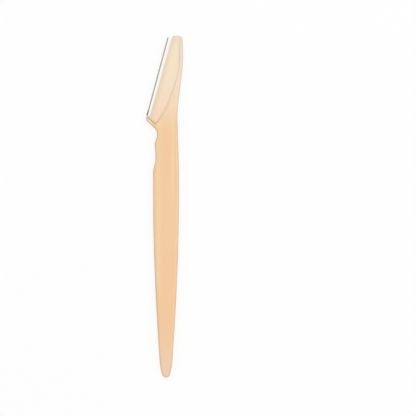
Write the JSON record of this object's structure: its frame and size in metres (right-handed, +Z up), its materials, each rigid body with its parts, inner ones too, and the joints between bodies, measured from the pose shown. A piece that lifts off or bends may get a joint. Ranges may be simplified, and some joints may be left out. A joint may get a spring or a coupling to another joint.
{
  "type": "eyebrow razor",
  "caption": "Slim eyebrow razor: a flat tapered plastic grip with a finger notch and a slanted head that clamps a steel blade under a fine slotted guard.",
  "frame": {"origin": "under the middle of the razor's box, on the surface that its back lies on", "axes": "+X across, from the blade's edge towards the spine; +Y along the handle, from the tip towards the head; +Z up through the thickness, from the back to the front with the cover plate"},
  "size_m": [0.0162, 0.15, 0.0038],
  "materials": {
    "handle_plastic": "satin, slightly translucent peach",
    "cover_plastic": "satin, pale translucent cream",
    "blade_steel": "ground along the edge",
    "guard_steel": "bright rolled sheet"
  },
  "bodies": {
    "root": {"handle": "handle_plastic", "cover_plate": "cover_plastic", "blade": "blade_steel", "blade_guard": "guard_steel"}
  },
  "joints": []
}
